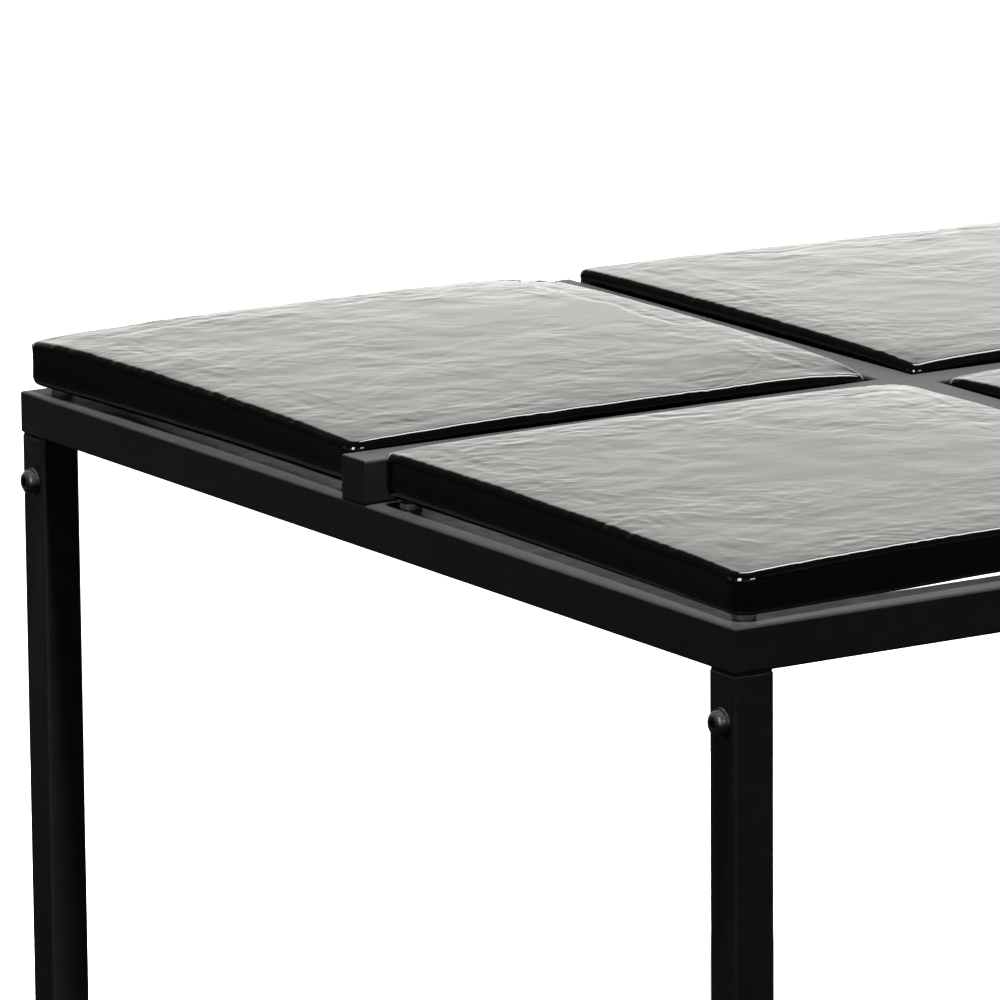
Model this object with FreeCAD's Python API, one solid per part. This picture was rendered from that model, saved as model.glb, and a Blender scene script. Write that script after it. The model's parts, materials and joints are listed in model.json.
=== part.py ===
import FreeCAD, Part
import math
import os

# Low square table: a welded frame of square steel tube on four bolted legs, with a cross of the
# same tube lying on the frame. Four thick cast glass tiles rest on clear bumpers in its quarters.
# Millimetres. The origin is on the floor under the middle of the table, +Z is up, -Y is the front.

# driving dimensions
SIDE = 750.0                # outside of the square frame
RAIL_BOTTOM = 396.0         # underside of the frame above the floor
TUBE = 25.0                 # square tube of the rails, dividers and legs
WALL = 1.5
RAIL_EDGE_RADIUS = 1.5      # long edges of the rails and dividers
LEG_EDGE_RADIUS = 2.5
LEG_TOP_RADIUS = 0.8        # rounding around the leg's upper end

# each tile is cast by hand and has its own size: along X, along Y, and thickness
TILE_SIZES = {
    "front_left": (354.0, 354.0, 29.5),
    "front_right": (354.0, 354.0, 28.0),
    "back_left": (357.0, 359.5, 32.0),
    "back_right": (358.0, 360.0, 33.0),
}
TILE_GAP = 2.0              # divider's side to the tile's inner side
TILE_CORNER_RADIUS = 13.0
TILE_TOP_RADIUS = 7.0
TILE_BOTTOM_RADIUS = 4.0

BUMPER_DIAMETER = 12.7
BUMPER_THICKNESS = 3.0
BUMPER_EDGE_RADIUS = 0.8
BUMPER_FROM_FACE = 18.0     # bumper's centre inside the frame's outer face
BUMPER_FROM_MIDDLE = 31.0   # bumper's centre from the middle line of the divider beside it

END_CAP_THICKNESS = 2.0
END_CAP_EDGE_RADIUS = 0.8
COPE_LAND = 0.3             # a half divider's coped end stops this far short of a feather edge
PLATE_SIDE = 80.0           # plate under the middle of the cross
PLATE_THICKNESS = 4.0
PLATE_CORNER_RADIUS = 6.0

SHADOW_GAP = 1.0            # rail's underside to the top of the leg's tube
SPIGOT_SIZE = 21.8
SPIGOT_WALL = 2.0
SPIGOT_LENGTH = 55.0
SPIGOT_SHOULDER = 23.6      # plate on top of the spigot, which the leg's tube bears on
SPIGOT_EDGE_RADIUS = 1.3

BOLT_BELOW_RAIL = 27.5      # bolt's axis below the rail's underside
BOLT_DIAMETER = 8.0
BOLT_CLEARANCE = 9.0
BOLT_LENGTH = 16.0
HEAD_DIAMETER = 14.0
HEAD_HEIGHT = 4.4
HEAD_RIM = 0.7
HEAD_FLAT_DIAMETER = 7.0
SOCKET_ACROSS_FLATS = 5.0
SOCKET_DEPTH = 2.6
WASHER_DIAMETER = 16.0
WASHER_BORE = 8.4
WASHER_THICKNESS = 1.6
NUT_ACROSS_FLATS = 13.0
NUT_THICKNESS = 6.5
THREAD_CLEARANCE = 0.05     # radial, between a plain shank and its plain threaded bore

PAD_DIAMETER = 22.0
PAD_HEIGHT = 5.0
PAD_CHAMFER = 1.0
STUD_HEX_HEIGHT = 4.0
STUD_LENGTH = 24.0
PLUG_FLANGE = 2.0
PLUG_BODY_LENGTH = 15.0
PLUG_CLEARANCE = 0.1        # plug's body to the leg's bore, on each side
PLUG_EDGE_CHAMFER = 0.6

# worked out
RAIL_TOP = RAIL_BOTTOM + TUBE
TILE_BOTTOM = RAIL_TOP + BUMPER_THICKNESS
TILE_NEAR = TUBE / 2 + TILE_GAP             # tile's inner side from the middle of the table
CAP_FACE = SIDE / 2 - END_CAP_THICKNESS     # where a divider's tube ends and its cap begins
BORE = TUBE - 2 * WALL
LEG_CENTRE = SIDE / 2 - TUBE / 2
PLUG_BOTTOM = PAD_HEIGHT + STUD_HEX_HEIGHT
LEG_BOTTOM = PLUG_BOTTOM + PLUG_FLANGE
LEG_TOP = RAIL_BOTTOM - SHADOW_GAP
BOLT_HEIGHT = RAIL_BOTTOM - BOLT_BELOW_RAIL
CORNERS = {
    "front_left": (-1, -1),
    "front_right": (1, -1),
    "back_left": (-1, 1),
    "back_right": (1, 1),
}

X_AXIS = FreeCAD.Vector(1, 0, 0)
Y_AXIS = FreeCAD.Vector(0, 1, 0)
Z_AXIS = FreeCAD.Vector(0, 0, 1)
ORIGIN = FreeCAD.Vector(0, 0, 0)

os.makedirs("parts", exist_ok=True)


def save(node, shape):
    """Write one named sub-part and print what it is."""
    shape.exportStep(f"parts/{node}.step")
    print(f"{node}: {len(shape.Solids)} solid, {shape.Volume / 1000:.1f} cm3, valid {shape.isValid()}")


def edges_along(shape, axis):
    """The straight edges of a shape that run along an axis."""
    found = []
    for edge in shape.Edges:
        ends = edge.Vertexes
        if len(ends) == 2:
            run = ends[1].Point.sub(ends[0].Point)
            if run.Length > 0 and abs(abs(run.dot(axis)) - run.Length) < 1e-6:
                found.append(edge)
    return found


def edges_at_height(shape, z):
    """The edges of a shape that lie flat at one height."""
    return [e for e in shape.Edges if abs(e.BoundBox.ZMin - z) < 1e-4 and abs(e.BoundBox.ZMax - z) < 1e-4]


def square_bar(size, length, radius):
    """A solid square bar from the origin up +Z, centred on the axis, with rounded long edges."""
    bar = Part.makeBox(size, size, length, FreeCAD.Vector(-size / 2, -size / 2, 0))
    return bar.makeFillet(radius, edges_along(bar, Z_AXIS))


def square_tube(size, wall, length, radius):
    """A square tube from the origin up +Z, centred on the axis, open at both ends."""
    bore_radius = max(radius - wall, 0.3)
    return square_bar(size, length, radius).cut(square_bar(size - 2 * wall, length, bore_radius))


def hexagon(across_flats, height):
    """A hexagonal prism from the origin up +Z."""
    reach = across_flats / math.sqrt(3)
    points = []
    for step in range(7):
        angle = math.radians(60 * step)
        points.append(FreeCAD.Vector(reach * math.cos(angle), reach * math.sin(angle), 0))
    return Part.Face(Part.makePolygon(points)).extrude(FreeCAD.Vector(0, 0, height))


def moved(shape, x, y, z):
    """A copy of a shape, moved."""
    copy = shape.copy()
    copy.translate(FreeCAD.Vector(x, y, z))
    return copy


def turned(shape, axis, degrees):
    """A copy of a shape, turned about an axis through the origin."""
    copy = shape.copy()
    copy.rotate(ORIGIN, axis, degrees)
    return copy


def at_corner(shape, corner):
    """A copy of a front left piece, mirrored to the named corner of the table."""
    sign_x, sign_y = CORNERS[corner]
    if sign_x > 0:
        shape = shape.mirror(ORIGIN, X_AXIS)
    if sign_y > 0:
        shape = shape.mirror(ORIGIN, Y_AXIS)
    return shape


def frame_rail():
    """The front rail: a tube along X with its ends mitred at 45 degrees."""
    tube = square_tube(TUBE, WALL, SIDE, RAIL_EDGE_RADIUS)
    rail = moved(turned(tube, Y_AXIS, 90), -SIDE / 2, -LEG_CENTRE, RAIL_BOTTOM + TUBE / 2)
    outer = SIDE / 2
    inner = SIDE / 2 - TUBE
    plan = [(-outer, -outer), (outer, -outer), (inner, -inner), (-inner, -inner), (-outer, -outer)]
    outline = Part.makePolygon([FreeCAD.Vector(x, y, RAIL_BOTTOM) for x, y in plan])
    return rail.common(Part.Face(outline).extrude(FreeCAD.Vector(0, 0, TUBE)))


def divider(start, end):
    """A divider tube along X from start to end, lying on the rails."""
    tube = square_tube(TUBE, WALL, end - start, RAIL_EDGE_RADIUS)
    return moved(turned(tube, Y_AXIS, 90), start, 0, RAIL_TOP + TUBE / 2)


def half_divider():
    """The left half of a crossing divider along X, coped to fit flush against the long one."""
    half = divider(-CAP_FACE, -TUBE / 2 + RAIL_EDGE_RADIUS - COPE_LAND)
    crossed = turned(square_bar(TUBE, 2 * TUBE, RAIL_EDGE_RADIUS), X_AXIS, -90)
    return half.cut(moved(crossed, 0, -TUBE, RAIL_TOP + TUBE / 2))


def divider_cap():
    """The welded plate that closes the left end of the divider along X, flush with the frame."""
    plate = square_bar(TUBE, END_CAP_THICKNESS, RAIL_EDGE_RADIUS)
    plate = plate.makeFillet(END_CAP_EDGE_RADIUS, edges_at_height(plate, 0))
    return moved(turned(plate, Y_AXIS, 90), -SIDE / 2, 0, RAIL_TOP + TUBE / 2)


def centre_plate():
    """The plate under the cross that carries the tiles' inner corners, level with the rails' tops."""
    corner = FreeCAD.Vector(-PLATE_SIDE / 2, -PLATE_SIDE / 2, RAIL_TOP - PLATE_THICKNESS)
    plate = Part.makeBox(PLATE_SIDE, PLATE_SIDE, PLATE_THICKNESS, corner)
    return plate.makeFillet(PLATE_CORNER_RADIUS, edges_along(plate, Z_AXIS))


def bolt_hole(length):
    """A drill along X at the bolt's height, from outside the front left leg inwards."""
    start = FreeCAD.Vector(-SIDE / 2 - 1, -LEG_CENTRE, BOLT_HEIGHT)
    return Part.makeCylinder(BOLT_CLEARANCE / 2, length + 1, start, X_AXIS)


def leg():
    """The front left leg's tube, with the bolt's hole in its outer wall."""
    length = LEG_TOP - LEG_BOTTOM
    bar = square_bar(TUBE, length, LEG_EDGE_RADIUS)
    bar = bar.makeFillet(LEG_TOP_RADIUS, edges_at_height(bar, length))
    tube = bar.cut(square_bar(BORE, length, LEG_EDGE_RADIUS - WALL))
    return moved(tube, -LEG_CENTRE, -LEG_CENTRE, LEG_BOTTOM).cut(bolt_hole(TUBE / 2))


def spigot():
    """The stub under the frame's corner that the leg slides over, with its shoulder plate."""
    shoulder = square_bar(SPIGOT_SHOULDER, SHADOW_GAP, SPIGOT_EDGE_RADIUS)
    stub = square_tube(SPIGOT_SIZE, SPIGOT_WALL, SPIGOT_LENGTH, SPIGOT_EDGE_RADIUS)
    shoulder = moved(shoulder, -LEG_CENTRE, -LEG_CENTRE, LEG_TOP)
    stub = moved(stub, -LEG_CENTRE, -LEG_CENTRE, LEG_TOP - SPIGOT_LENGTH)
    return shoulder.fuse(stub).removeSplitter().cut(bolt_hole(TUBE / 2))


def weld_nut():
    """The nut welded inside the front left spigot, behind the bolt's hole."""
    nut = hexagon(NUT_ACROSS_FLATS, NUT_THICKNESS)
    nut = nut.cut(Part.makeCylinder(BOLT_DIAMETER / 2 + THREAD_CLEARANCE, NUT_THICKNESS))
    wall_inside = (TUBE - SPIGOT_SIZE) / 2 + SPIGOT_WALL
    return moved(turned(nut, Y_AXIS, 90), -SIDE / 2 + wall_inside, -LEG_CENTRE, BOLT_HEIGHT)


def leg_washer():
    """The washer on the front left leg's outer face."""
    washer = Part.makeCylinder(WASHER_DIAMETER / 2, WASHER_THICKNESS)
    washer = washer.cut(Part.makeCylinder(WASHER_BORE / 2, WASHER_THICKNESS))
    return moved(turned(washer, Y_AXIS, 90), -SIDE / 2 - WASHER_THICKNESS, -LEG_CENTRE, BOLT_HEIGHT)


def leg_bolt():
    """The front left leg's button head bolt, its shank along +X from the head's flat side."""
    rim = HEAD_DIAMETER / 2
    flat = HEAD_FLAT_DIAMETER / 2
    shoulder = FreeCAD.Vector(rim, 0, -HEAD_RIM)
    crown = FreeCAD.Vector(flat, 0, -HEAD_HEIGHT)
    # the dome passes a little outside the middle of the straight line from the rim to the crown
    bulge = FreeCAD.Vector((rim + flat) / 2 + 0.8, 0, -(HEAD_RIM + HEAD_HEIGHT) / 2 - 0.8)
    outline = [
        Part.LineSegment(ORIGIN, FreeCAD.Vector(rim, 0, 0)),
        Part.LineSegment(FreeCAD.Vector(rim, 0, 0), shoulder),
        Part.Arc(shoulder, bulge, crown),
        Part.LineSegment(crown, FreeCAD.Vector(0, 0, -HEAD_HEIGHT)),
        Part.LineSegment(FreeCAD.Vector(0, 0, -HEAD_HEIGHT), ORIGIN),
    ]
    profile = Part.Face(Part.Wire([curve.toShape() for curve in outline]))
    head = profile.revolve(ORIGIN, Z_AXIS, 360)
    head = head.cut(moved(hexagon(SOCKET_ACROSS_FLATS, SOCKET_DEPTH), 0, 0, -HEAD_HEIGHT))
    bolt = head.fuse(Part.makeCylinder(BOLT_DIAMETER / 2, BOLT_LENGTH)).removeSplitter()
    return moved(turned(bolt, Y_AXIS, 90), -SIDE / 2 - WASHER_THICKNESS, -LEG_CENTRE, BOLT_HEIGHT)


def leg_plug():
    """The moulded plug in the front left leg's lower end, threaded for the levelling stud."""
    body_size = BORE - 2 * PLUG_CLEARANCE
    flange = square_bar(TUBE, PLUG_FLANGE, LEG_EDGE_RADIUS)
    flange = flange.makeChamfer(PLUG_EDGE_CHAMFER, edges_at_height(flange, 0))
    body = moved(square_bar(body_size, PLUG_BODY_LENGTH, SPIGOT_EDGE_RADIUS), 0, 0, PLUG_FLANGE)
    plug = flange.fuse(body).removeSplitter()
    bore = Part.makeCylinder(BOLT_DIAMETER / 2 + THREAD_CLEARANCE, PLUG_FLANGE + PLUG_BODY_LENGTH)
    return moved(plug.cut(bore), -LEG_CENTRE, -LEG_CENTRE, PLUG_BOTTOM)


def levelling_stud():
    """The front left foot's stud: a hexagon to turn it by, and the shank that runs in the plug."""
    hexagon_end = hexagon(NUT_ACROSS_FLATS, STUD_HEX_HEIGHT)
    shank = Part.makeCylinder(BOLT_DIAMETER / 2, STUD_LENGTH, FreeCAD.Vector(0, 0, STUD_HEX_HEIGHT))
    return moved(hexagon_end.fuse(shank).removeSplitter(), -LEG_CENTRE, -LEG_CENTRE, PAD_HEIGHT)


def levelling_pad():
    """The round pad on the floor under the front left stud."""
    pad = Part.makeCylinder(PAD_DIAMETER / 2, PAD_HEIGHT)
    rims = edges_at_height(pad, 0) + edges_at_height(pad, PAD_HEIGHT)
    return moved(pad.makeChamfer(PAD_CHAMFER, rims), -LEG_CENTRE, -LEG_CENTRE, 0)


def tile(size_x, size_y, thickness):
    """A glass tile in the front left place, with round corners and pillowed edges."""
    corner = FreeCAD.Vector(-TILE_NEAR - size_x, -TILE_NEAR - size_y, TILE_BOTTOM)
    slab = Part.makeBox(size_x, size_y, thickness, corner)
    slab = slab.makeFillet(TILE_CORNER_RADIUS, edges_along(slab, Z_AXIS))
    slab = slab.makeFillet(TILE_TOP_RADIUS, edges_at_height(slab, TILE_BOTTOM + thickness))
    return slab.makeFillet(TILE_BOTTOM_RADIUS, edges_at_height(slab, TILE_BOTTOM))


def bumper():
    """One clear bumper from the origin up +Z."""
    disc = Part.makeCylinder(BUMPER_DIAMETER / 2, BUMPER_THICKNESS)
    return disc.makeFillet(BUMPER_EDGE_RADIUS, edges_at_height(disc, BUMPER_THICKNESS))


def tile_bumpers():
    """The four bumpers under the front left tile: on the rails at three corners, and on the plate."""
    outer = -SIDE / 2 + BUMPER_FROM_FACE
    inner = -BUMPER_FROM_MIDDLE
    places = [(outer, outer), (outer, inner), (inner, outer), (inner, inner)]
    return Part.makeCompound([moved(bumper(), x, y, RAIL_TOP) for x, y in places])


# the welded frame
for turn, side in enumerate(["front", "right", "back", "left"]):
    save(f"{side}_rail", turned(frame_rail(), Z_AXIS, 90 * turn))

save("divider_long", divider(-CAP_FACE, CAP_FACE))
save("divider_front_half", turned(half_divider(), Z_AXIS, 90))
save("divider_back_half", turned(half_divider(), Z_AXIS, -90))
for turn, side in enumerate(["left", "front", "right", "back"]):
    save(f"divider_cap_{side}", turned(divider_cap(), Z_AXIS, 90 * turn))
save("centre_plate", centre_plate())

# what repeats at each corner
for name in CORNERS:
    save(f"leg_spigot_{name}", at_corner(spigot(), name))
    save(f"weld_nut_{name}", at_corner(weld_nut(), name))
    save(f"leg_{name}", at_corner(leg(), name))
    save(f"leg_washer_{name}", at_corner(leg_washer(), name))
    save(f"leg_bolt_{name}", at_corner(leg_bolt(), name))
    save(f"leg_plug_{name}", at_corner(leg_plug(), name))
    save(f"levelling_stud_{name}", at_corner(levelling_stud(), name))
    save(f"levelling_pad_{name}", at_corner(levelling_pad(), name))
    save(f"tile_bumpers_{name}", at_corner(tile_bumpers(), name))
    save(f"glass_tile_{name}", at_corner(tile(*TILE_SIZES[name]), name))
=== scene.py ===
import json
import math

import bpy
import numpy as np
from mathutils import Matrix, Vector


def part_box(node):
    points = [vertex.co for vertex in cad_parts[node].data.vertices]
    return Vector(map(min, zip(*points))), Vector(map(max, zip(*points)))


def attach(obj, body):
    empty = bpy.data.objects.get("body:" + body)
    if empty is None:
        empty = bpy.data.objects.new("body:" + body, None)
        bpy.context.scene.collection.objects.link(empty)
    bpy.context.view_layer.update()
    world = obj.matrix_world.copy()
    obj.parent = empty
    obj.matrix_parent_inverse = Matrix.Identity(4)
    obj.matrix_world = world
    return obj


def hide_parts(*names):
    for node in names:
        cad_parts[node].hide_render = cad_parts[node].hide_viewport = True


# Low square table with four black cast glass tiles on a black powder-coated steel frame, in the
# frame's own axes. The steel is the CAD frame with better materials; the four plain CAD tiles are
# replaced by rippled castings. The castings are worked out in millimetres and all else in metres.
# Angles are in degrees.

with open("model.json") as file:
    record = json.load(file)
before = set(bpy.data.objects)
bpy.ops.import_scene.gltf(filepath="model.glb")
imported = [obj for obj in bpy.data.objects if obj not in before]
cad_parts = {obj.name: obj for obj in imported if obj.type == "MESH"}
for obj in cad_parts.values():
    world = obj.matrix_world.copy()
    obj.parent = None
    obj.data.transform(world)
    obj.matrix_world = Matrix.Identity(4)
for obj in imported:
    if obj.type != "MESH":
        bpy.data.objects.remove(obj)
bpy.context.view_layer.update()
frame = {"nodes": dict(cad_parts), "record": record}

MM = 0.001

# ---------------------------------------------------------------- sizes: camera and studio

# camera: low down and far off, so the view is nearly parallel
CAMERA_PLACE = Vector((-2.7064, -3.8059, 1.3921))
VIEW_AZIMUTH = -32.53
VIEW_ELEVATION = 12.274
VIEW_ROLL = -0.492
SENSOR = 36.0
LENS = 297.13
CLIP_NEAR = 0.1
CLIP_FAR = 200.0

# the light of the room, by elevation, and by bearing from 0 behind the camera to 1 behind the table
BAND_BY_ELEVATION = [
    (-90, 0.0), (-1.5, 0.6), (0.5, 0.97), (4, 1.0), (8, 0.94), (12, 0.84), (16, 0.74), (20, 0.68),
    (24, 0.58), (28, 0.28), (33, 0.03), (90, 0.0),
]
BAND_BY_BEARING = [
    (0.0, 0.20), (0.20, 0.20), (0.26, 0.0), (0.33, 0.0), (0.39, 0.18), (0.50, 0.20), (0.62, 0.18),
    (0.67, 0.0), (0.74, 0.0), (0.80, 0.30), (0.90, 0.75), (0.96, 1.0), (1.0, 1.0),
]
BAND_STRENGTH = 1.66
AMBIENT = 0.04
ROOM_COLOR = (1.0, 0.997, 0.965, 1.0)
BACKDROP_STRENGTH = 1.1     # the same room to the eye: plain white

FLOOR = -0.011              # just under the feet at their lowest
FLOOR_REACH = 60.0
FLOOR_COLOR = (0.35, 0.35, 0.35, 1.0)
FLOOR_GLOW = 0.93
FLOOR_IN_REFLECTIONS = (0.0066, 0.0055, 0.0050, 1.0)

# a glowing card on the floor behind the table
CARD_NEAR = 0.95
CARD_FAR = 8.0
CARD_WIDTH = 2.8
CARD_LIFT = 0.001
CARD_GLOW = 4.5

# lamps: the place from the middle of the table's top, the size, the power in watts, and the kind of
# ray that doesn't see the lamp
TABLE_TOP = Vector((0.0, 0.0, 0.44))
LAMPS = [
    # straight above: lights what faces up, and draws no highlight
    ("top_light", (-0.49, -0.49, 6.0), (0.6, 0.6), 3800.0, "visible_glossy"),
    # behind on the right: draws the bright line along the tiles' front edges
    ("back_light", (1.578, 1.26, 2.22), (1.8, 0.8), 42.0, None),
    # on the camera's side, for highlights only: the bright spots on the tiles' near corners
    ("left_lamp", (-2.331, -1.437, 1.227), (0.8, 1.6), 80.0, "visible_diffuse"),
    ("right_lamp", (0.30, -2.73, 1.20), (1.2, 0.5), 26.0, "visible_diffuse"),
]

# ---------------------------------------------------------------- sizes: castings, in millimetres

# Corners are the plan's corners before rounding. They, the tops (heights above the floor), the droops,
# the radii and the bottoms (radius of the lower edge) go in the order low x low y, high x low y,
# high x high y, low x high y. Bows draw a side in between its corners, pillows raise the top there, and
# hollows lift the underside there, in the order front, right, back, left. The lens is where the top is
# calmest, from -1 to 1 along x and y, and calm is how much of the ripple it takes away.
TILES = {
    "front_left": {
        "corners": [(-368.4, -368.4), (-14.6, -364.5), (-14.6, -14.8), (-366.6, -14.6)],
        "tops": [447.6, 449.5, 450.8, 451.2],
        "droops": [1.1, 1.0, 1.5, 0.6],
        "pillows": [0.4, 1.5, 1.7, 0.5],
        "bows": [3.0, 2.5, 1.5, 2.0],
        "radii": [6.7, 3.0, 3.0, 1.0],
        "bottoms": [2.6, 2.6, 6.0, 8.0],
        "hollows": [0.9, 0.8, 0.8, 0.0],
        "lens": (0.05, 0.02),
        "calm": 0.72,
        "seed": 11,
    },
    "front_right": {
        "corners": [(15.0, -366.5), (368.0, -368.0), (367.0, -15.0), (14.8, -14.8)],
        "tops": [449.0, 449.4, 449.8, 450.2],
        "droops": [1.0, 1.0, 1.0, 1.4],
        "pillows": [0.6, 0.6, 0.6, 0.6],
        "bows": [3.0, 2.5, 2.0, 1.5],
        "radii": [2.5, 4.0, 4.0, 1.2],
        "bottoms": [6.0, 5.0, 6.0, 6.0],
        "hollows": [1.2, 0.4, 0.6, 0.4],
        "lens": (-0.1, 0.15),
        "calm": 0.5,
        "seed": 23,
    },
    "back_left": {
        "corners": [(-367.8, 14.7), (-14.8, 14.8), (-15.0, 373.8), (-371.4, 373.9)],
        "tops": [450.5, 451.5, 452.2, 452.5],
        "droops": [1.0, 3.0, 2.2, 1.6],
        "pillows": [1.2, 3.6, 2.4, 1.6],
        "bows": [2.0, 1.5, 2.0, 3.5],
        "radii": [4.5, 3.0, 3.0, 0.6],
        "bottoms": [9.0, 6.0, 6.0, 6.0],
        "hollows": [0.4, 0.8, 0.6, 0.0],
        "lens": (0.35, 0.25),
        "calm": 0.45,
        "seed": 37,
        # an arc that the mould's round seat left: its centre, its radius, and the angles it runs between
        "mark": (-178.8, 177.7, 165.6, -85.0, 15.0),
    },
    "back_right": {
        "corners": [(14.8, 14.8), (369.0, 15.4), (372.0, 369.5), (14.8, 374.0)],
        "tops": [451.8, 452.0, 449.0, 453.4],
        "droops": [1.8, 0.8, 1.0, 0.8],
        "pillows": [0.8, 1.5, 0.6, 0.8],
        "bows": [2.0, 3.0, 3.0, 1.2],
        "radii": [0.8, 3.0, 4.0, 1.5],
        "bottoms": [7.0, 6.0, 6.0, 6.0],
        "hollows": [0.5, 1.0, 0.8, 0.4],
        "lens": (-0.2, -0.25),
        "calm": 0.5,
        "seed": 53,
    },
}
TILE_CELLS = 216            # cells along each side of a tile's top
CROWDING = 0.055            # how much closer together the cells are near the edges
TOP_ROUNDING = 5.2          # radius of the top's edges
ROLL_OFF = 0.5              # how far the top sinks towards its edges, before the tight rounding
ROLL_OFF_REACH = 8.0
EDGE_BELT = 40.0            # in this belt, lines of equal distance to the edge turn the corners
DROOP_REACH = 16.0
PILLOW_POWER = 3            # how squarely the pillows fall off towards the corners
LENS_SIZE = (0.50, 0.46)
LENS_POWER = 1.5            # how sharply the calm ends

# ripples
SKEW = 0.35                 # the middle ripples run this much askew
GRAIN_ALONG = (0.70, -0.71)
GRAIN_ACROSS = (0.71, 0.70)
GRAIN_FLOOR = 0.15          # liveliness below which there is no grain
GRAIN_CEILING = 1.4
CREASE_DEPTH = 0.07
CREASE_WIDTH = 0.035

# the belt where the glass froze against the mould: wavy ridges and one step that follow the edges
EDGE_RIDGES = [(12.0, 0.13, 2.4), (37.0, 0.15, 3.0)]    # how far in, how high, how wide
RIDGE_WANDER = 12.0
EDGE_STEP = (22.0, 0.17, 1.9)
STEP_WANDER = 9.0
POURED = 0.22               # ridges and step grow towards high x and high y
FROZEN_BELT = (10.0, 55.0)
FROZEN_FROM_CORNER = 35.0

# sharp streaks, mostly in that belt, and in patches elsewhere
STREAK_HEIGHT = 0.17
STREAK_CREST = 0.25         # streaks stand up where their noise is nearer to 0 than this
STREAK_IN_BELT = 1.1
STREAK_IN_PATCHES = 0.35
STREAK_CEILING = 1.4

MARK_DEPTH = 0.16
MARK_WIDTH = 1.2
MARK_FADE = 12.0            # degrees over which each end of the mark fades

# edges and underside
UNDERSIDE_LIFT = 0.05       # the underside's clearance over the bottom of the CAD tile
UNDERSIDE_RISE = 1.2        # the underside's height in the middle above its edge
UNDERSIDE_PEAK = 1.25
UNDERSIDE_RINGS = (0.985, 0.95, 0.88, 0.75, 0.55, 0.3, 0.1)
HOLLOW_SPAN = (0.05, 0.42)  # shares of the way from a side's middle to its end, where the hollow fades
ROUNDING_STEPS = 12
WALL_STEPS = 6
BOTTOM_STEPS = 8
WALL_BELLY = 0.25           # how far the sides sink in at half height
WALL_INSET = 0.40           # room for the waves of the sides inside the CAD tile

# Layers of noise: the height, a cell's length along x and along y, and what the layer adds to the
# tile's seed. Some only shift or weigh other layers.
LAYERS = {
    "wander_x": (14.0, 62.0, 62.0, 1),
    "wander_y": (14.0, 55.0, 55.0, 2),
    "small_wander_x": (4.0, 23.0, 23.0, 15),
    "small_wander_y": (4.0, 19.0, 19.0, 16),
    "lively": (1.1, 75.0, 68.0, 17),
    "broad": (0.62, 90.0, 80.0, 3),
    "main": (0.25, 27.0, 17.0, 4),
    "second": (0.155, 14.0, 8.0, 5),
    "fine": (0.065, 6.2, 4.1, 6),
    "grain": (0.15, 27.0, 4.8, 26),
    "crease_line": (1.0, 44.0, 24.0, 7),
    "edge_wander": (1.0, 45.0, 45.0, 8),
    "small_edge_wander": (0.4, 13.0, 13.0, 18),
    "broken": (1.7, 33.0, 33.0, 21),
    "frozen": (1.5, 50.0, 50.0, 19),
    "frozen_coarse": (0.10, 8.0, 6.5, 9),
    "frozen_fine": (0.05, 4.4, 4.0, 20),
    "streak_x": (5.0, 30.0, 30.0, 22),
    "streak_y": (5.0, 26.0, 26.0, 23),
    "streaks": (1.0, 17.0, 10.0, 24),
    "patches": (1.2, 60.0, 60.0, 25),
    "wall": (0.35, 30.0, 18.0, 12),
    "wall_fine": (0.10, 7.0, 6.0, 13),
    "underside": (0.25, 40.0, 40.0, 14),
}
# weights that come and go over a tile: the usual level, the lowest and the highest
WEIGHTS = {
    "lively": (0.75, 0.2, 1.7),
    "broken": (0.6, 0.0, 1.7),
    "frozen": (0.8, 0.15, 1.8),
    "patches": (0.25, 0.05, 1.0),
}
NOISE_PERIOD = 64           # cells before the noise repeats


# ---------------------------------------------------------------- camera

def direction(azimuth, elevation):
    """The way that a view from this azimuth and elevation looks."""
    a = math.radians(azimuth)
    e = math.radians(elevation)
    return Vector((-math.sin(a) * math.cos(e), math.cos(a) * math.cos(e), -math.sin(e)))


def make_camera():
    """The camera at the working view."""
    data = bpy.data.cameras.new("camera")
    data.sensor_width = SENSOR
    data.lens = LENS
    data.clip_start = CLIP_NEAR
    data.clip_end = CLIP_FAR
    camera = bpy.data.objects.new("camera", data)
    bpy.context.scene.collection.objects.link(camera)
    turn = direction(VIEW_AZIMUTH, VIEW_ELEVATION).to_track_quat("-Z", "Y").to_matrix().to_4x4()
    roll = Matrix.Rotation(math.radians(VIEW_ROLL), 4, "Z")
    camera.matrix_world = Matrix.Translation(CAMERA_PLACE) @ turn @ roll
    bpy.context.scene.camera = camera


# ---------------------------------------------------------------- noise for the castings

def lattice_noise(x, y, seed):
    """Smooth gradient noise with cells of one unit, about -0.7 to 0.7, the same for the same seed."""
    rng = np.random.default_rng(seed)
    angles = rng.uniform(0.0, 2 * math.pi, (NOISE_PERIOD, NOISE_PERIOD))
    slope_x = np.cos(angles)
    slope_y = np.sin(angles)
    cell_x = np.floor(x).astype(int)
    cell_y = np.floor(y).astype(int)
    in_x = x - cell_x
    in_y = y - cell_y

    def corner(i, j):
        """What the cell's corner i, j adds, on the plane that it tilts."""
        a = (cell_x + i) % NOISE_PERIOD
        b = (cell_y + j) % NOISE_PERIOD
        return slope_x[a, b] * (in_x - i) + slope_y[a, b] * (in_y - j)

    def fade(t):
        """Goes from 0 to 1 with no slope and no bend at either end."""
        return t * t * t * (t * (t * 6 - 15) + 10)

    share_x = fade(in_x)
    share_y = fade(in_y)
    low = corner(0, 0) * (1 - share_x) + corner(1, 0) * share_x
    high = corner(0, 1) * (1 - share_x) + corner(1, 1) * share_x
    return low * (1 - share_y) + high * share_y


def layer(name, x, y, seed):
    """One of LAYERS, at these points."""
    height, cell_x, cell_y, offset = LAYERS[name]
    return height * lattice_noise(x / cell_x, y / cell_y, seed + offset)


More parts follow.
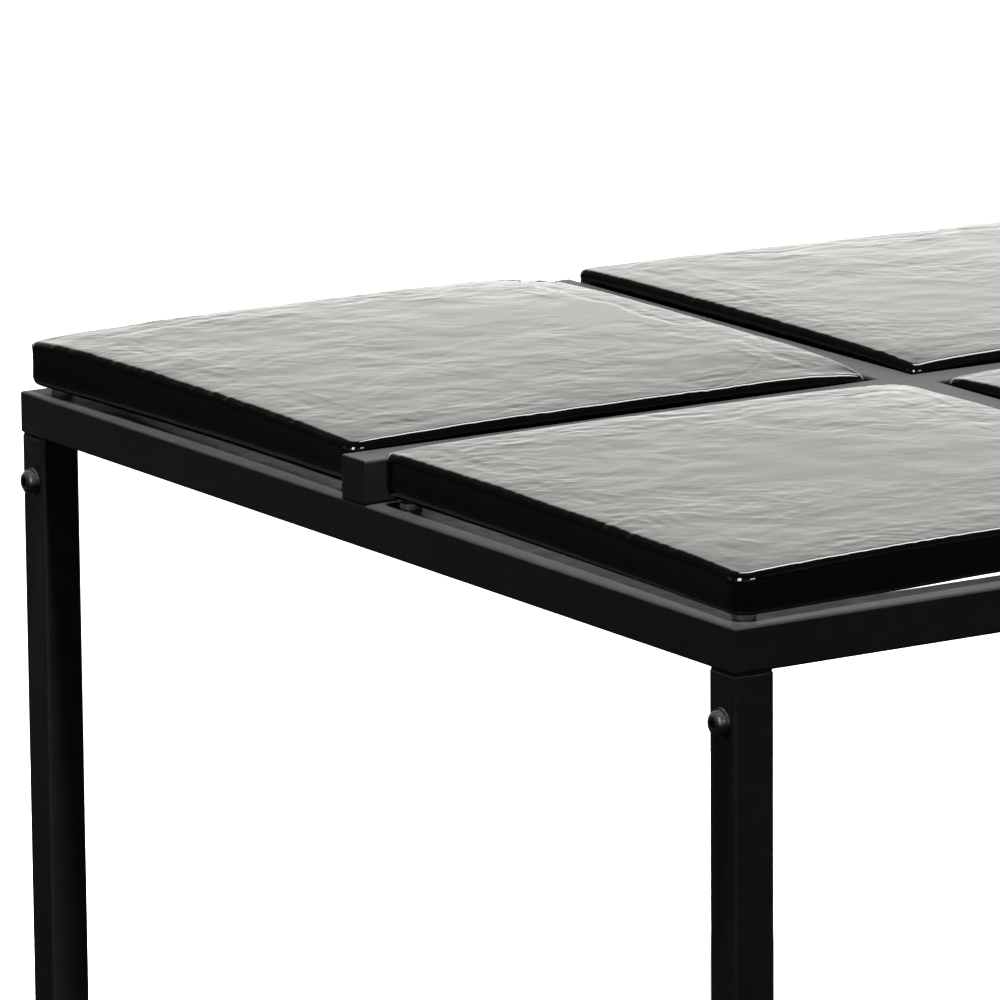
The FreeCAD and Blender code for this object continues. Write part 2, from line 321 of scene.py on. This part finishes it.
def weight(name, x, y, seed):
    """One of WEIGHTS, at these points."""
    level, low, high = WEIGHTS[name]
    return np.clip(level + layer(name, x, y, seed), low, high)


def smooth_step(low, high, value):
    """0 below low, 1 above high, and smooth between them."""
    t = np.clip((value - low) / (high - low), 0.0, 1.0)
    return t * t * (3 - 2 * t)


def ripple(x, y, seed):
    """Height of the fire-polished ripples at a point of a tile's top."""
    wander_x = x + layer("wander_x", x, y, seed) + layer("small_wander_x", x, y, seed)
    wander_y = y + layer("wander_y", x, y, seed) + layer("small_wander_y", x, y, seed)
    skew_x = wander_x + SKEW * wander_y
    skew_y = wander_y - SKEW * wander_x
    along = GRAIN_ALONG[0] * wander_x + GRAIN_ALONG[1] * wander_y
    across = GRAIN_ACROSS[0] * wander_x + GRAIN_ACROSS[1] * wander_y

    lively = weight("lively", x, y, seed)
    second = lively * layer("second", skew_x, skew_y, seed)
    fine = lively * layer("fine", wander_x, wander_y, seed)
    grain = np.clip(lively - GRAIN_FLOOR, 0, GRAIN_CEILING) * layer("grain", along, across, seed)
    off_crease = np.abs(layer("crease_line", skew_x, skew_y, seed))
    crease = CREASE_DEPTH * lively * np.exp(-off_crease / CREASE_WIDTH)
    smooth = layer("broad", x, y, seed) + layer("main", wander_x, wander_y, seed)
    return smooth + second + fine + grain - crease


# ---------------------------------------------------------------- the castings

def four_corner_mix(u, v, values):
    """Bilinear mix of four corner values, in the order of the corners in TILES."""
    low = values[0] * (1 - u) / 2 + values[1] * (1 + u) / 2
    high = values[3] * (1 - u) / 2 + values[2] * (1 + u) / 2
    return low * (1 - v) / 2 + high * (1 + v) / 2


def side_mix(u, v, values):
    """The value of the side that a point of the border lies on, in the order front, right, back, left."""
    beside = np.where(u > 0, values[1], values[3])
    return np.where(np.abs(v) >= np.abs(u), np.where(v > 0, values[2], values[0]), beside)


def round_corner(x, y, half_x, half_y, radii):
    """Moves the points in a rectangle's corner squares into quarter discs."""
    radius = four_corner_mix(np.sign(x), np.sign(y), radii)
    p = np.clip((np.abs(x) - (half_x - radius)) / radius, 0, 1)
    q = np.clip((np.abs(y) - (half_y - radius)) / radius, 0, 1)
    new_p = p * np.sqrt(1 - q * q / 2)
    new_q = q * np.sqrt(1 - p * p / 2)
    in_corner = (p > 0) & (q > 0)
    x = np.where(in_corner, np.sign(x) * (half_x - radius + new_p * radius), x)
    y = np.where(in_corner, np.sign(y) * (half_y - radius + new_q * radius), y)
    return x, y


def tile_plan(spec):
    """The grid of a tile's top: x, y, the same from -1 to 1 as u, v, and half its size each way."""
    corners = np.array(spec["corners"])
    centre = corners.mean(axis=0)
    inner = corners - np.sign(corners - centre) * TOP_ROUNDING
    half_x, half_y = np.abs(inner - centre).mean(axis=0)

    line = np.linspace(-1, 1, TILE_CELLS + 1)
    line = line + CROWDING * np.sin(math.pi * line)
    flat_x, flat_y = np.meshgrid(line * half_x, line * half_y, indexing="ij")
    flat_x, flat_y = round_corner(flat_x, flat_y, half_x, half_y, spec["radii"])
    u = flat_x / half_x
    v = flat_y / half_y
    x = four_corner_mix(u, v, inner[:, 0])
    y = four_corner_mix(u, v, inner[:, 1])

    # the sides pull in between the corners
    front, right, back, left = spec["bows"]
    x = x + (1 - v**2) * (left * ((1 - u) / 2)**3 - right * ((1 + u) / 2)**3)
    y = y + (1 - u**2) * (front * ((1 - v) / 2)**3 - back * ((1 + v) / 2)**3)
    return x, y, u, v, half_x, half_y


def edge_distance(to_side_x, to_side_y):
    """Distance to the edge of the top, from the distances to its sides."""
    p = np.clip(EDGE_BELT - to_side_x, 0, None)
    q = np.clip(EDGE_BELT - to_side_y, 0, None)
    round_corners = np.clip(EDGE_BELT - (p**4 + q**4)**0.25, 0, None)
    in_belt = (p > 0) | (q > 0)
    return np.minimum(np.minimum(to_side_x, to_side_y), np.where(in_belt, round_corners, np.inf))


def smooth_top(spec, u, v, to_edge, to_corner):
    """Height of a tile's top without any ripples."""
    front, right, back, left = spec["pillows"]
    along_x = (front * (1 - v) / 2 + back * (1 + v) / 2) * (1 - np.abs(u)**PILLOW_POWER)
    along_y = (left * (1 - u) / 2 + right * (1 + u) / 2) * (1 - np.abs(v)**PILLOW_POWER)
    top = four_corner_mix(u, v, spec["tops"]) + np.hypot(along_x, along_y)
    top = top - four_corner_mix(u, v, spec["droops"]) * np.exp(-to_corner / DROOP_REACH)
    return top + ROLL_OFF * (1 - np.exp(-to_edge / ROLL_OFF_REACH))


def frozen_edges(x, y, u, v, to_edge, seed):
    """Height of the wavy ridges and the step that follow the edges."""
    wander = layer("edge_wander", x, y, seed) + layer("small_edge_wander", x, y, seed)
    height = np.zeros_like(x)
    for place, rise, width in EDGE_RIDGES:
        height = height + rise * np.exp(-((to_edge - place - RIDGE_WANDER * wander) / width)**2)
    place, rise, width = EDGE_STEP
    height = height + rise * np.tanh((to_edge - place - STEP_WANDER * wander) / width)
    return height * weight("broken", x, y, seed) * (1 + POURED * (u + v))


def streak_relief(x, y, frozen, calm, seed):
    """Height of the sharp streaks."""
    streak_x = x + layer("streak_x", x, y, seed)
    streak_y = y + layer("streak_y", x, y, seed)
    streaks = STREAK_CREST - np.abs(layer("streaks", streak_x, streak_y, seed))
    patches = weight("patches", x, y, seed)
    amount = STREAK_IN_BELT * frozen + STREAK_IN_PATCHES * patches * calm
    return STREAK_HEIGHT * streaks * np.clip(amount, 0, STREAK_CEILING)


def mould_mark(x, y, mark):
    """Depth of the arc that the mould left."""
    centre_x, centre_y, radius, start, end = mark
    off_line = np.hypot(x - centre_x, y - centre_y) - radius
    angle = np.degrees(np.arctan2(y - centre_y, x - centre_x))
    begun = smooth_step(start, start + MARK_FADE, angle)
    ended = smooth_step(end - MARK_FADE, end, angle)
    return MARK_DEPTH * begun * (1 - ended) * np.exp(-(off_line / MARK_WIDTH)**2)


def tile_top(spec):
    """The grid of points of a tile's top, and their u and v."""
    seed = spec["seed"]
    x, y, u, v, half_x, half_y = tile_plan(spec)
    to_side_x = half_x * (1 - np.abs(u))
    to_side_y = half_y * (1 - np.abs(v))
    to_corner = np.hypot(to_side_x, to_side_y)
    to_edge = edge_distance(to_side_x, to_side_y)

    lens_u, lens_v = spec["lens"]
    off_lens = ((u - lens_u) / LENS_SIZE[0])**2 + ((v - lens_v) / LENS_SIZE[1])**2
    calm = 1 - spec["calm"] * np.exp(-off_lens**LENS_POWER)
    frozen = (1 - smooth_step(*FROZEN_BELT, to_edge)) * weight("frozen", x, y, seed)
    frozen = frozen * (1 - np.exp(-to_corner / FROZEN_FROM_CORNER))

    top = smooth_top(spec, u, v, to_edge, to_corner)
    top = top + ripple(x, y, seed) * calm
    top = top + frozen_edges(x, y, u, v, to_edge, seed)
    top = top + frozen * (layer("frozen_coarse", x, y, seed) + layer("frozen_fine", x, y, seed))
    top = top + streak_relief(x, y, frozen, calm, seed)
    if "mark" in spec:
        top = top - mould_mark(x, y, spec["mark"])
    return np.stack([x, y, top], axis=-1), u, v


def edge_profile(top, wall_foot, bottom):
    """The section of a tile's edge, from its top's border down to its underside.

    Each step is how far out it lies, its height, and its share of the side's belly."""
    start = math.atan(ROLL_OFF / ROLL_OFF_REACH)
    profile = []
    for step in range(1, ROUNDING_STEPS + 1):
        angle = start + (math.pi / 2 - start) * step / ROUNDING_STEPS
        out = TOP_ROUNDING * (math.sin(angle) - math.sin(start))
        drop = TOP_ROUNDING * (math.cos(start) - math.cos(angle))
        profile.append((out, top - drop, 0.0))
    full, wall_top, _ = profile[-1]
    for step in range(1, WALL_STEPS + 1):
        share = step / WALL_STEPS
        height = wall_top + (wall_foot - wall_top) * share
        profile.append((full, height, math.sin(math.pi * share)))
    for step in range(1, BOTTOM_STEPS + 1):
        angle = math.pi / 2 * step / BOTTOM_STEPS
        out = full - bottom * (1 - math.cos(angle))
        profile.append((out, wall_foot - bottom * math.sin(angle), 0.0))
    return profile


def edge_rings(spec, border, u, v, underside):
    """Rings of points down a tile's sides, from the border of its top."""
    seed = spec["seed"]
    ahead = np.roll(border, -1, axis=0) - np.roll(border, 1, axis=0)
    outward = np.stack([ahead[:, 1], -ahead[:, 0]], axis=1)
    outward /= np.linalg.norm(outward, axis=1)[:, None]
    steps = np.linalg.norm(np.diff(border[:, :2], axis=0), axis=1)
    run = np.concatenate([[0], np.cumsum(steps)])

    # the underside is a little hollow between the bumpers
    hollow = side_mix(u, v, spec["hollows"]) * (1 - smooth_step(*HOLLOW_SPAN, np.abs(u * v)))
    bottom = four_corner_mix(u, v, spec["bottoms"])

    rings = []
    top = border[:, 2]
    for out, height, belly in edge_profile(top, underside + hollow + bottom, bottom):
        wave = layer("wall", run, height, seed) + layer("wall_fine", run, height, seed)
        sunk = np.clip((top - height) / TOP_ROUNDING, 0.0, 1.0)
        reach = out - belly * WALL_BELLY + (wave - WALL_INSET) * sunk**2
        rings.append(np.column_stack([border[:, :2] + outward * reach[:, None], height]))
    return rings


def underside_rings(edge, underside, seed):
    """Rings of points from the underside's edge towards its middle."""
    middle = edge[:, :2].mean(axis=0)
    rings = []
    for scale in UNDERSIDE_RINGS:
        plan = middle + (edge[:, :2] - middle) * scale
        height = edge[:, 2] * scale + (underside + UNDERSIDE_RISE) * (1 - scale)
        height = height + layer("underside", plan[:, 0], plan[:, 1], seed)
        rings.append(np.column_stack([plan, height]))
    return rings, np.array([[*middle, underside + UNDERSIDE_PEAK]])


def tile_mesh(spec, underside):
    """The vertices and the faces of one cast tile."""
    grid, u, v = tile_top(spec)
    top_points = grid.reshape(-1, 3)
    index = np.arange(len(top_points)).reshape(u.shape)
    quads = [index[:-1, :-1], index[1:, :-1], index[1:, 1:], index[:-1, 1:]]
    faces = [np.stack([corner.ravel() for corner in quads], axis=1)]

    # the top's border, anticlockwise
    border = np.concatenate([index[:-1, 0], index[-1, :-1], index[:0:-1, -1], index[0, :0:-1]])
    rings = edge_rings(spec, top_points[border], u.ravel()[border], v.ravel()[border], underside)
    more_rings, peak = underside_rings(rings[-1], underside, spec["seed"])
    rings = rings + more_rings

    last = border
    total = len(top_points)
    for ring in rings:
        this = np.arange(total, total + len(ring))
        faces.append(np.stack([last, this, np.roll(this, -1), np.roll(last, -1)], axis=1))
        last = this
        total += len(ring)
    fan = np.stack([last, np.full_like(last, total), np.roll(last, -1)], axis=1)
    return np.concatenate([top_points, *rings, peak]), np.concatenate(faces).tolist() + fan.tolist()


def make_tile(corner, material):
    """One cast glass tile in place of the plain CAD one."""
    low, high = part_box(f"glass_tile_{corner}")
    vertices, faces = tile_mesh(TILES[corner], low[2] / MM + UNDERSIDE_LIFT)
    vertices = np.clip(vertices * MM, low, high)
    mesh = bpy.data.meshes.new(f"tile_casting_{corner}")
    mesh.from_pydata(vertices.tolist(), [], faces)
    mesh.validate()
    mesh.shade_smooth()
    mesh.materials.append(material)
    piece = bpy.data.objects.new(f"tile_casting_{corner}", mesh)
    bpy.context.scene.collection.objects.link(piece)
    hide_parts(f"glass_tile_{corner}")
    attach(piece, f"tile_{corner}")


# ---------------------------------------------------------------- materials

def new_material(name):
    """A material, its node tree and its Principled shader, and its object coordinates."""
    material = bpy.data.materials.new(name)
    material.use_nodes = True
    tree = material.node_tree
    coords = tree.nodes.new("ShaderNodeTexCoord").outputs["Object"]
    return material, tree, tree.nodes["Principled BSDF"], coords


def noise_node(tree, coords, scale, detail, roughness=0.5):
    """A noise texture in object space. Scale is in cells per metre."""
    node = tree.nodes.new("ShaderNodeTexNoise")
    node.inputs["Scale"].default_value = scale
    node.inputs["Detail"].default_value = detail
    node.inputs["Roughness"].default_value = roughness
    tree.links.new(coords, node.inputs["Vector"])
    return node.outputs["Fac"]


def spread(tree, factor, low, high, start=0.3, end=0.7):
    """Maps a texture's factor, from start to end, onto low to high."""
    node = tree.nodes.new("ShaderNodeMapRange")
    node.inputs["From Min"].default_value = start
    node.inputs["From Max"].default_value = end
    node.inputs["To Min"].default_value = low
    node.inputs["To Max"].default_value = high
    tree.links.new(factor, node.inputs["Value"])
    return node.outputs["Result"]


def tint(tree, factor, low, high):
    """A colour between low and high by a factor from 0 to 1. Low may also be a node's output."""
    node = tree.nodes.new("ShaderNodeMix")
    node.data_type = "RGBA"
    factor_socket, low_socket, high_socket = node.inputs[0], node.inputs[6], node.inputs[7]
    if isinstance(low, tuple):
        low_socket.default_value = (*low, 1.0)
    else:
        tree.links.new(low, low_socket)
    high_socket.default_value = (*high, 1.0)
    tree.links.new(factor, factor_socket)
    return node.outputs[2]


def mottle(tree, shader, factor, colors, roughness):
    """Varies a shader's colour and roughness by a texture's factor."""
    tree.links.new(tint(tree, spread(tree, factor, 0, 1), *colors), shader.inputs["Base Color"])
    tree.links.new(spread(tree, factor, *roughness), shader.inputs["Roughness"])


def bump(tree, shader, height, distance, before=None):
    """Adds a bump to a shader's normal. Distance is the depth in metres."""
    node = tree.nodes.new("ShaderNodeBump")
    node.inputs["Distance"].default_value = distance
    tree.links.new(height, node.inputs["Height"])
    if before is not None:
        tree.links.new(before, node.inputs["Normal"])
    tree.links.new(node.outputs["Normal"], shader.inputs["Normal"])
    return node.outputs["Normal"]


def powder_coat():
    """Satin black powder coat with a fine orange peel."""
    material, tree, shader, coords = new_material("powder_coat")
    shader.inputs["Specular IOR Level"].default_value = 0.12
    cloud = noise_node(tree, coords, scale=90, detail=3)
    colors = (0.0080, 0.0082, 0.0090), (0.0106, 0.0107, 0.0116)
    mottle(tree, shader, cloud, colors, roughness=(0.42, 0.50))
    # the flats stay flat up to their rounded edges
    flat = tree.nodes.new("ShaderNodeNewGeometry").outputs["True Normal"]
    bump(tree, shader, noise_node(tree, coords, scale=1300, detail=2), distance=0.00006, before=flat)
    return material


def black_steel():
    """Black oxide on the bolts and washers."""
    material, tree, shader, coords = new_material("black_steel")
    shader.inputs["Metallic"].default_value = 0.25
    wear = noise_node(tree, coords, scale=700, detail=4, roughness=0.6)
    colors = (0.006, 0.006, 0.007), (0.022, 0.021, 0.021)
    mottle(tree, shader, wear, colors, roughness=(0.28, 0.45))
    bump(tree, shader, noise_node(tree, coords, scale=2400, detail=2), distance=0.00002)
    return material


def zinc_steel():
    """Zinc plating on the weld nuts and the levelling studs."""
    material, tree, shader, coords = new_material("zinc_steel")
    shader.inputs["Metallic"].default_value = 1.0
    cloud = noise_node(tree, coords, scale=400, detail=4, roughness=0.6)
    colors = (0.50, 0.51, 0.52), (0.66, 0.66, 0.64)
    mottle(tree, shader, cloud, colors, roughness=(0.25, 0.42))
    bump(tree, shader, noise_node(tree, coords, scale=1800, detail=2), distance=0.00002)
    return material


def black_plastic():
    """Moulded plastic on the leg plugs and the pads."""
    material, tree, shader, coords = new_material("black_plastic")
    grain = noise_node(tree, coords, scale=1600, detail=3)
    colors = (0.014, 0.014, 0.014), (0.024, 0.024, 0.024)
    mottle(tree, shader, grain, colors, roughness=(0.5, 0.62))
    bump(tree, shader, grain, distance=0.00005)
    return material


def clear_silicone():
    """The clear bumpers."""
    material, tree, shader, coords = new_material("clear_silicone")
    shader.inputs["Transmission Weight"].default_value = 0.55
    shader.inputs["IOR"].default_value = 1.41
    haze = noise_node(tree, coords, scale=500, detail=3)
    colors = (0.42, 0.44, 0.45), (0.56, 0.58, 0.58)
    mottle(tree, shader, haze, colors, roughness=(0.08, 0.2))
    return material


def cast_glass():
    """Black cast glass: fire polished, with faint bubbles painted as lighter specks that stand in for
    their glints, and a micro ripple.
    """
    material, tree, shader, coords = new_material("cast_glass")
    shader.inputs["IOR"].default_value = 1.52
    cloud = noise_node(tree, coords, scale=25, detail=3)
    body = tint(tree, spread(tree, cloud, 0, 1), (0.00012, 0.00010, 0.00008), (0.0004, 0.0003, 0.0002))
    bubbles = tree.nodes.new("ShaderNodeTexVoronoi")
    bubbles.inputs["Scale"].default_value = 110
    tree.links.new(coords, bubbles.inputs["Vector"])
    # the bubbles are real, but their lighter specks of base colour are painted glints, standing in for
    # light that the bubbles catch
    bubble_and_glint = spread(tree, bubbles.outputs["Distance"], 1, 0, start=0.03, end=0.07)
    tree.links.new(tint(tree, bubble_and_glint, body, (0.006, 0.005, 0.0035)), shader.inputs["Base Color"])
    tree.links.new(spread(tree, cloud, 0.015, 0.05), shader.inputs["Roughness"])
    coarse = noise_node(tree, coords, scale=120, detail=2)
    fine = noise_node(tree, coords, scale=420, detail=2)
    wavy = bump(tree, shader, coarse, distance=0.00004)
    bump(tree, shader, fine, distance=0.000006, before=wavy)
    return material


def dress_frame(materials):
    """Gives each CAD node the material of its slot in the record."""
    for subpart in frame["record"]["subparts"]:
        node = frame["nodes"][subpart["node"]]
        node.data.materials.clear()
        node.data.materials.append(materials[subpart["material_slot"]])


# ---------------------------------------------------------------- studio

def math_node(tree, operation, first, second):
    """The result of a maths node on an output and a number or a second output."""
    node = tree.nodes.new("ShaderNodeMath")
    node.operation = operation
    tree.links.new(first, node.inputs[0])
    if isinstance(second, (int, float)):
        node.inputs[1].default_value = second
    else:
        tree.links.new(second, node.inputs[1])
    return node.outputs[0]


def half_range(tree, value):
    """A value from -1 to 1, brought to 0 to 1."""
    return math_node(tree, "ADD", math_node(tree, "MULTIPLY", value, 0.5), 0.5)


def ramp(tree, value, stops):
    """A smooth curve through the stops."""
    node = tree.nodes.new("ShaderNodeFloatCurve")
    curve = node.mapping.curves[0]
    curve.points[0].location = stops[0]
    curve.points[1].location = stops[-1]
    for place, height in stops[1:-1]:
        curve.points.new(place, height)
    for point in curve.points:
        point.handle_type = "AUTO_CLAMPED"
    node.mapping.update()
    tree.links.new(value, node.inputs["Value"])
    return node.outputs["Value"]


def sine_stops(stops):
    """Stops by elevation in degrees, as stops by (sine + 1) / 2."""
    return [((math.sin(math.radians(e)) + 1) / 2, level) for e, level in stops]


def split_by_ray(tree, seen, reflected):
    """A mix that shows one shader to the eye, and the other to reflections and light."""
    mix = tree.nodes.new("ShaderNodeMixShader")
    tree.links.new(tree.nodes.new("ShaderNodeLightPath").outputs["Is Camera Ray"], mix.inputs[0])
    tree.links.new(reflected.outputs[0], mix.inputs[1])
    tree.links.new(seen.outputs[0], mix.inputs[2])
    return mix


def world_light():
    """A white room: bright low down behind the table, dim elsewhere, and plain white to the eye."""
    world = bpy.data.worlds.new("studio")
    bpy.context.scene.world = world
    world.use_nodes = True
    tree = world.node_tree
    tree.nodes.clear()

    split = tree.nodes.new("ShaderNodeSeparateXYZ")
    tree.links.new(tree.nodes.new("ShaderNodeTexCoord").outputs["Generated"], split.inputs[0])
    away = direction(VIEW_AZIMUTH, 0)
    part_x = math_node(tree, "MULTIPLY", split.outputs[0], away.x)
    part_y = math_node(tree, "MULTIPLY", split.outputs[1], away.y)
    bearing = half_range(tree, math_node(tree, "ADD", part_x, part_y))
    band = ramp(tree, half_range(tree, split.outputs[2]), sine_stops(BAND_BY_ELEVATION))
    sweep = ramp(tree, bearing, BAND_BY_BEARING)
    both = math_node(tree, "MULTIPLY", band, sweep)
    bright = math_node(tree, "MULTIPLY", both, BAND_STRENGTH)

    lit = tree.nodes.new("ShaderNodeBackground")
    lit.inputs["Color"].default_value = ROOM_COLOR
    tree.links.new(math_node(tree, "ADD", bright, AMBIENT), lit.inputs["Strength"])
    plain = tree.nodes.new("ShaderNodeBackground")
    plain.inputs["Color"].default_value = (1.0, 1.0, 1.0, 1.0)
    plain.inputs["Strength"].default_value = BACKDROP_STRENGTH
    output = tree.nodes.new("ShaderNodeOutputWorld")
    tree.links.new(split_by_ray(tree, plain, lit).outputs[0], output.inputs["Surface"])


def stage_sheet(name, corners):
    """A flat sheet of the studio, and the tree and the output of its own empty material."""
    mesh = bpy.data.meshes.new(name)
    mesh.from_pydata(corners, [], [(0, 1, 2, 3)])
    sheet = bpy.data.objects.new(name, mesh)
    bpy.context.scene.collection.objects.link(sheet)
    material = bpy.data.materials.new(name)
    material.use_nodes = True
    mesh.materials.append(material)
    tree = material.node_tree
    tree.nodes.clear()
    return sheet, tree, tree.nodes.new("ShaderNodeOutputMaterial").inputs["Surface"]


def diffuse_node(tree, color):
    """A matt shader."""
    node = tree.nodes.new("ShaderNodeBsdfDiffuse")
    node.inputs["Color"].default_value = color
    return node


def glow_node(tree, strength):
    """A white glowing shader."""
    node = tree.nodes.new("ShaderNodeEmission")
    node.inputs["Strength"].default_value = strength
    return node


def make_floor():
    """A wide pale floor: white to the eye, and dim in the table's reflections."""
    signs = ((-1, -1), (1, -1), (1, 1), (-1, 1))
    corners = [(x * FLOOR_REACH, y * FLOOR_REACH, FLOOR) for x, y in signs]
    _, tree, surface = stage_sheet("floor", corners)
    seen = tree.nodes.new("ShaderNodeAddShader")
    tree.links.new(diffuse_node(tree, FLOOR_COLOR).outputs[0], seen.inputs[0])
    tree.links.new(glow_node(tree, FLOOR_GLOW).outputs[0], seen.inputs[1])
    dim = diffuse_node(tree, FLOOR_IN_REFLECTIONS)
    tree.links.new(split_by_ray(tree, seen, dim).outputs[0], surface)


def make_card():
    """A glowing card on the floor behind the table, seen in reflections only."""
    away = direction(VIEW_AZIMUTH, 0)
    across = Vector((away.y, -away.x, 0.0))
    height = Vector((0.0, 0.0, FLOOR + CARD_LIFT))
    ends = ((CARD_NEAR, -1), (CARD_NEAR, 1), (CARD_FAR, 1), (CARD_FAR, -1))
    corners = [tuple(away * along + across * side * CARD_WIDTH / 2 + height) for along, side in ends]
    card, tree, surface = stage_sheet("bounce_card", corners)
    tree.links.new(glow_node(tree, CARD_GLOW).outputs[0], surface)
    card.visible_camera = False


def make_lamp(name, offset, size, power, unseen_by):
    """A rectangular light that faces the table's top, not seen by the camera."""
    data = bpy.data.lights.new(name, "AREA")
    data.shape = "RECTANGLE"
    data.size, data.size_y = size
    data.energy = power
    lamp = bpy.data.objects.new(name, data)
    bpy.context.scene.collection.objects.link(lamp)
    lamp.location = TABLE_TOP + Vector(offset)
    lamp.rotation_euler = (-Vector(offset)).to_track_quat("-Z", "Y").to_euler()
    lamp.visible_camera = False
    if unseen_by:
        setattr(lamp, unseen_by, False)


# ---------------------------------------------------------------- making

make_camera()

MATERIALS = {
    "powder_coat": powder_coat(),
    "black_steel": black_steel(),
    "zinc_steel": zinc_steel(),
    "black_plastic": black_plastic(),
    "clear_silicone": clear_silicone(),
    "cast_glass": cast_glass(),
}
dress_frame(MATERIALS)
for corner_name in TILES:
    make_tile(corner_name, MATERIALS["cast_glass"])

world_light()
make_floor()
make_card()
for lamp_facts in LAMPS:
    make_lamp(*lamp_facts)
bpy.context.scene.view_settings.view_transform = "Standard"
